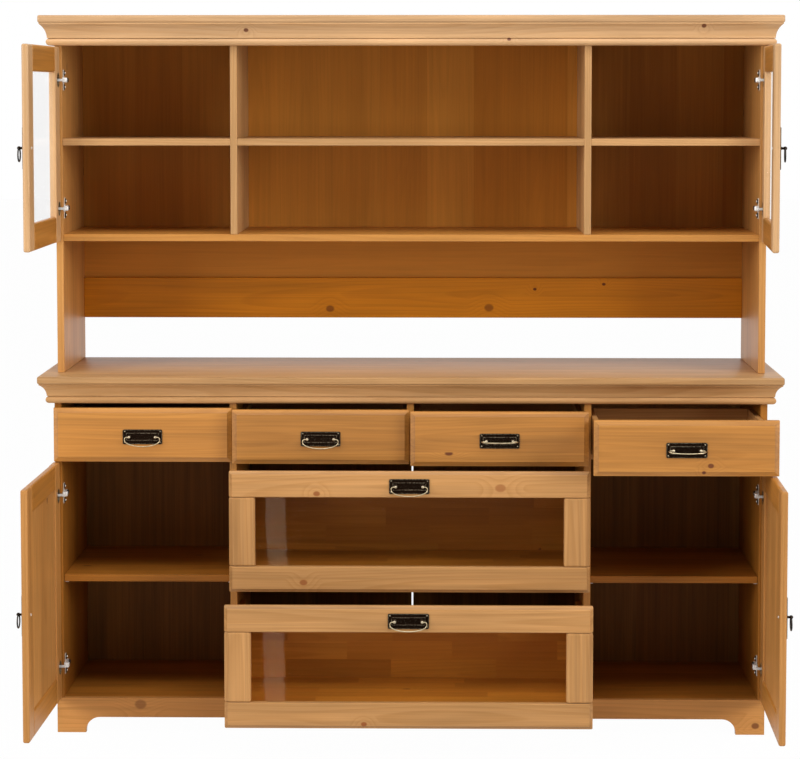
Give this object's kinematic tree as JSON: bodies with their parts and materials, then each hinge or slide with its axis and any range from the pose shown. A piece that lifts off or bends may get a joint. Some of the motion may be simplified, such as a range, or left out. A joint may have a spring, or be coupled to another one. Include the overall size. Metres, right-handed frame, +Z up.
{
  "type": "dresser with hutch",
  "caption": "Waxed pine dresser: cupboards, drawers and glass-fronted drawers below a worktop, open hutch with shelves and glazed doors above, bail and ring pulls.",
  "frame": {"origin": "on the floor, middle of the width, at the back plane, on the underside of the rear plinth board", "axes": "+X to the right seen from the front, +Y to the back, +Z up"},
  "size_m": [1.8, 0.8506, 1.75],
  "materials": {
    "pine": "honey-coloured waxed pine",
    "back_sheet": "stained thin back sheet",
    "clear_glass": "clear float glass",
    "plate_bronze": "dark antiqued bronze",
    "bail_brass": "aged brass wire",
    "hinge_nickel": "nickel-plated steel"
  },
  "bodies": {
    "carcase": {"base_sides": "pine", "hutch_sides": "pine", "dividers": "pine", "base_bottom": "pine", "hutch_floor": "pine", "shelves": "pine", "shelf_pins": "hinge_nickel", "plinth": "pine", "back_panels": "back_sheet", "hutch_back_rail": "pine", "worktop": "pine", "crown_board": "pine", "worktop_moulding": "pine", "crown_moulding": "pine", "drawer_runners": "pine", "hinge_arms": "hinge_nickel"},
    "drawer_1": {"drawer_1_front": "pine", "drawer_1_box": "pine", "drawer_1_pull_plate": "plate_bronze"},
    "drawer_1_bail": {"drawer_1_bail": "bail_brass"},
    "drawer_2": {"drawer_2_front": "pine", "drawer_2_box": "pine", "drawer_2_pull_plate": "plate_bronze"},
    "drawer_2_bail": {"drawer_2_bail": "bail_brass"},
    "drawer_3": {"drawer_3_front": "pine", "drawer_3_box": "pine", "drawer_3_pull_plate": "plate_bronze"},
    "drawer_3_bail": {"drawer_3_bail": "bail_brass"},
    "drawer_4": {"drawer_4_front": "pine", "drawer_4_box": "pine", "drawer_4_pull_plate": "plate_bronze"},
    "drawer_4_bail": {"drawer_4_bail": "bail_brass"},
    "upper_glass_drawer": {"upper_glass_drawer_front": "pine", "upper_glass_drawer_glass": "clear_glass", "upper_glass_drawer_box": "pine", "upper_glass_drawer_pull_plate": "plate_bronze"},
    "upper_glass_drawer_bail": {"upper_glass_drawer_bail": "bail_brass"},
    "lower_glass_drawer": {"lower_glass_drawer_front": "pine", "lower_glass_drawer_glass": "clear_glass", "lower_glass_drawer_box": "pine", "lower_glass_drawer_pull_plate": "plate_bronze"},
    "lower_glass_drawer_bail": {"lower_glass_drawer_bail": "bail_brass"},
    "left_base_door": {"left_base_door_frame": "pine", "left_base_door_hinge_cups": "hinge_nickel", "left_base_door_pull_plate": "plate_bronze"},
    "left_base_door_ring": {"left_base_door_ring": "bail_brass"},
    "right_base_door": {"right_base_door_frame": "pine", "right_base_door_hinge_cups": "hinge_nickel", "right_base_door_pull_plate": "plate_bronze"},
    "right_base_door_ring": {"right_base_door_ring": "bail_brass"},
    "left_hutch_door": {"left_hutch_door_frame": "pine", "left_hutch_door_glass": "clear_glass", "left_hutch_door_hinge_cups": "hinge_nickel", "left_hutch_door_pull_plate": "plate_bronze"},
    "left_hutch_door_ring": {"left_hutch_door_ring": "bail_brass"},
    "right_hutch_door": {"right_hutch_door_frame": "pine", "right_hutch_door_glass": "clear_glass", "right_hutch_door_hinge_cups": "hinge_nickel", "right_hutch_door_pull_plate": "plate_bronze"},
    "right_hutch_door_ring": {"right_hutch_door_ring": "bail_brass"}
  },
  "joints": [
    {"name": "drawer_1_slide", "type": "slide", "parent": "carcase", "child": "drawer_1", "axis": [0, -1, 0], "range_m": [0, 0.3]},
    {"name": "drawer_1_bail_swing", "type": "hinge", "parent": "drawer_1", "child": "drawer_1_bail", "pos_m": [-0.64775, -0.4465, 0.7325], "axis": [-1, 0, 0], "range_deg": [-10, 100]},
    {"name": "drawer_2_slide", "type": "slide", "parent": "carcase", "child": "drawer_2", "axis": [0, -1, 0], "range_m": [-0.031, 0.269]},
    {"name": "drawer_2_bail_swing", "type": "hinge", "parent": "drawer_2", "child": "drawer_2_bail", "pos_m": [-0.215, -0.4775, 0.7325], "axis": [-1, 0, 0], "range_deg": [-10, 100]},
    {"name": "drawer_3_slide", "type": "slide", "parent": "carcase", "child": "drawer_3", "axis": [0, -1, 0], "range_m": [-0.061, 0.239]},
    {"name": "drawer_3_bail_swing", "type": "hinge", "parent": "drawer_3", "child": "drawer_3_bail", "pos_m": [0.215, -0.5075, 0.7325], "axis": [-1, 0, 0], "range_deg": [-98, 12]},
    {"name": "drawer_4_slide", "type": "slide", "parent": "carcase", "child": "drawer_4", "axis": [0, -1, 0], "range_m": [-0.21, 0.09]},
    {"name": "drawer_4_bail_swing", "type": "hinge", "parent": "drawer_4", "child": "drawer_4_bail", "pos_m": [0.64775, -0.6565, 0.7325], "axis": [-1, 0, 0], "range_deg": [-90, 20]},
    {"name": "upper_glass_drawer_slide", "type": "slide", "parent": "carcase", "child": "upper_glass_drawer", "axis": [0, -1, 0], "range_m": [-0.128, 0.172]},
    {"name": "upper_glass_drawer_bail_swing", "type": "hinge", "parent": "upper_glass_drawer", "child": "upper_glass_drawer_bail", "pos_m": [0, -0.5745, 0.633], "axis": [-1, 0, 0], "range_deg": [-10, 100]},
    {"name": "lower_glass_drawer_slide", "type": "slide", "parent": "carcase", "child": "lower_glass_drawer", "axis": [0, -1, 0], "range_m": [-0.272, 0.028]},
    {"name": "lower_glass_drawer_bail_swing", "type": "hinge", "parent": "lower_glass_drawer", "child": "lower_glass_drawer_bail", "pos_m": [0, -0.7185, 0.3405], "axis": [-1, 0, 0], "range_deg": [-10, 100]},
    {"name": "left_base_door_swing", "type": "hinge", "parent": "carcase", "child": "left_base_door", "pos_m": [-0.858, -0.424, 0.377], "axis": [0, 0, -1], "range_deg": [-91, 14]},
    {"name": "left_base_door_ring_swing", "type": "hinge", "parent": "left_base_door", "child": "left_base_door_ring", "pos_m": [-0.8874, -0.81905, 0.377], "axis": [0.0175, 0.9998, 0], "range_deg": [-12, 100]},
    {"name": "right_base_door_swing", "type": "hinge", "parent": "carcase", "child": "right_base_door", "pos_m": [0.858, -0.424, 0.377], "axis": [0, 0, 1], "range_deg": [-88.5, 16.5]},
    {"name": "right_base_door_ring_swing", "type": "hinge", "parent": "right_base_door", "child": "right_base_door_ring", "pos_m": [0.87014, -0.81995, 0.377], "axis": [-0.0262, -0.9997, 0], "range_deg": [-12, 100]},
    {"name": "left_hutch_door_swing", "type": "hinge", "parent": "carcase", "child": "left_hutch_door", "pos_m": [-0.858, -0.367, 1.438], "axis": [0, 0, -1], "range_deg": [-90.5, 14.5]},
    {"name": "left_hutch_door_ring_swing", "type": "hinge", "parent": "left_hutch_door", "child": "left_hutch_door_ring", "pos_m": [-0.88395, -0.76229, 1.438], "axis": [0.0087, 1, 0], "range_deg": [-12, 100]},
    {"name": "right_hutch_door_swing", "type": "hinge", "parent": "carcase", "child": "right_hutch_door", "pos_m": [0.858, -0.367, 1.438], "axis": [0, 0, 1], "range_deg": [-86, 19]},
    {"name": "right_hutch_door_ring_swing", "type": "hinge", "parent": "right_hutch_door", "child": "right_hutch_door_ring", "pos_m": [0.85286, -0.76311, 1.438], "axis": [-0.0698, -0.9976, 0], "range_deg": [-12, 100]}
  ]
}
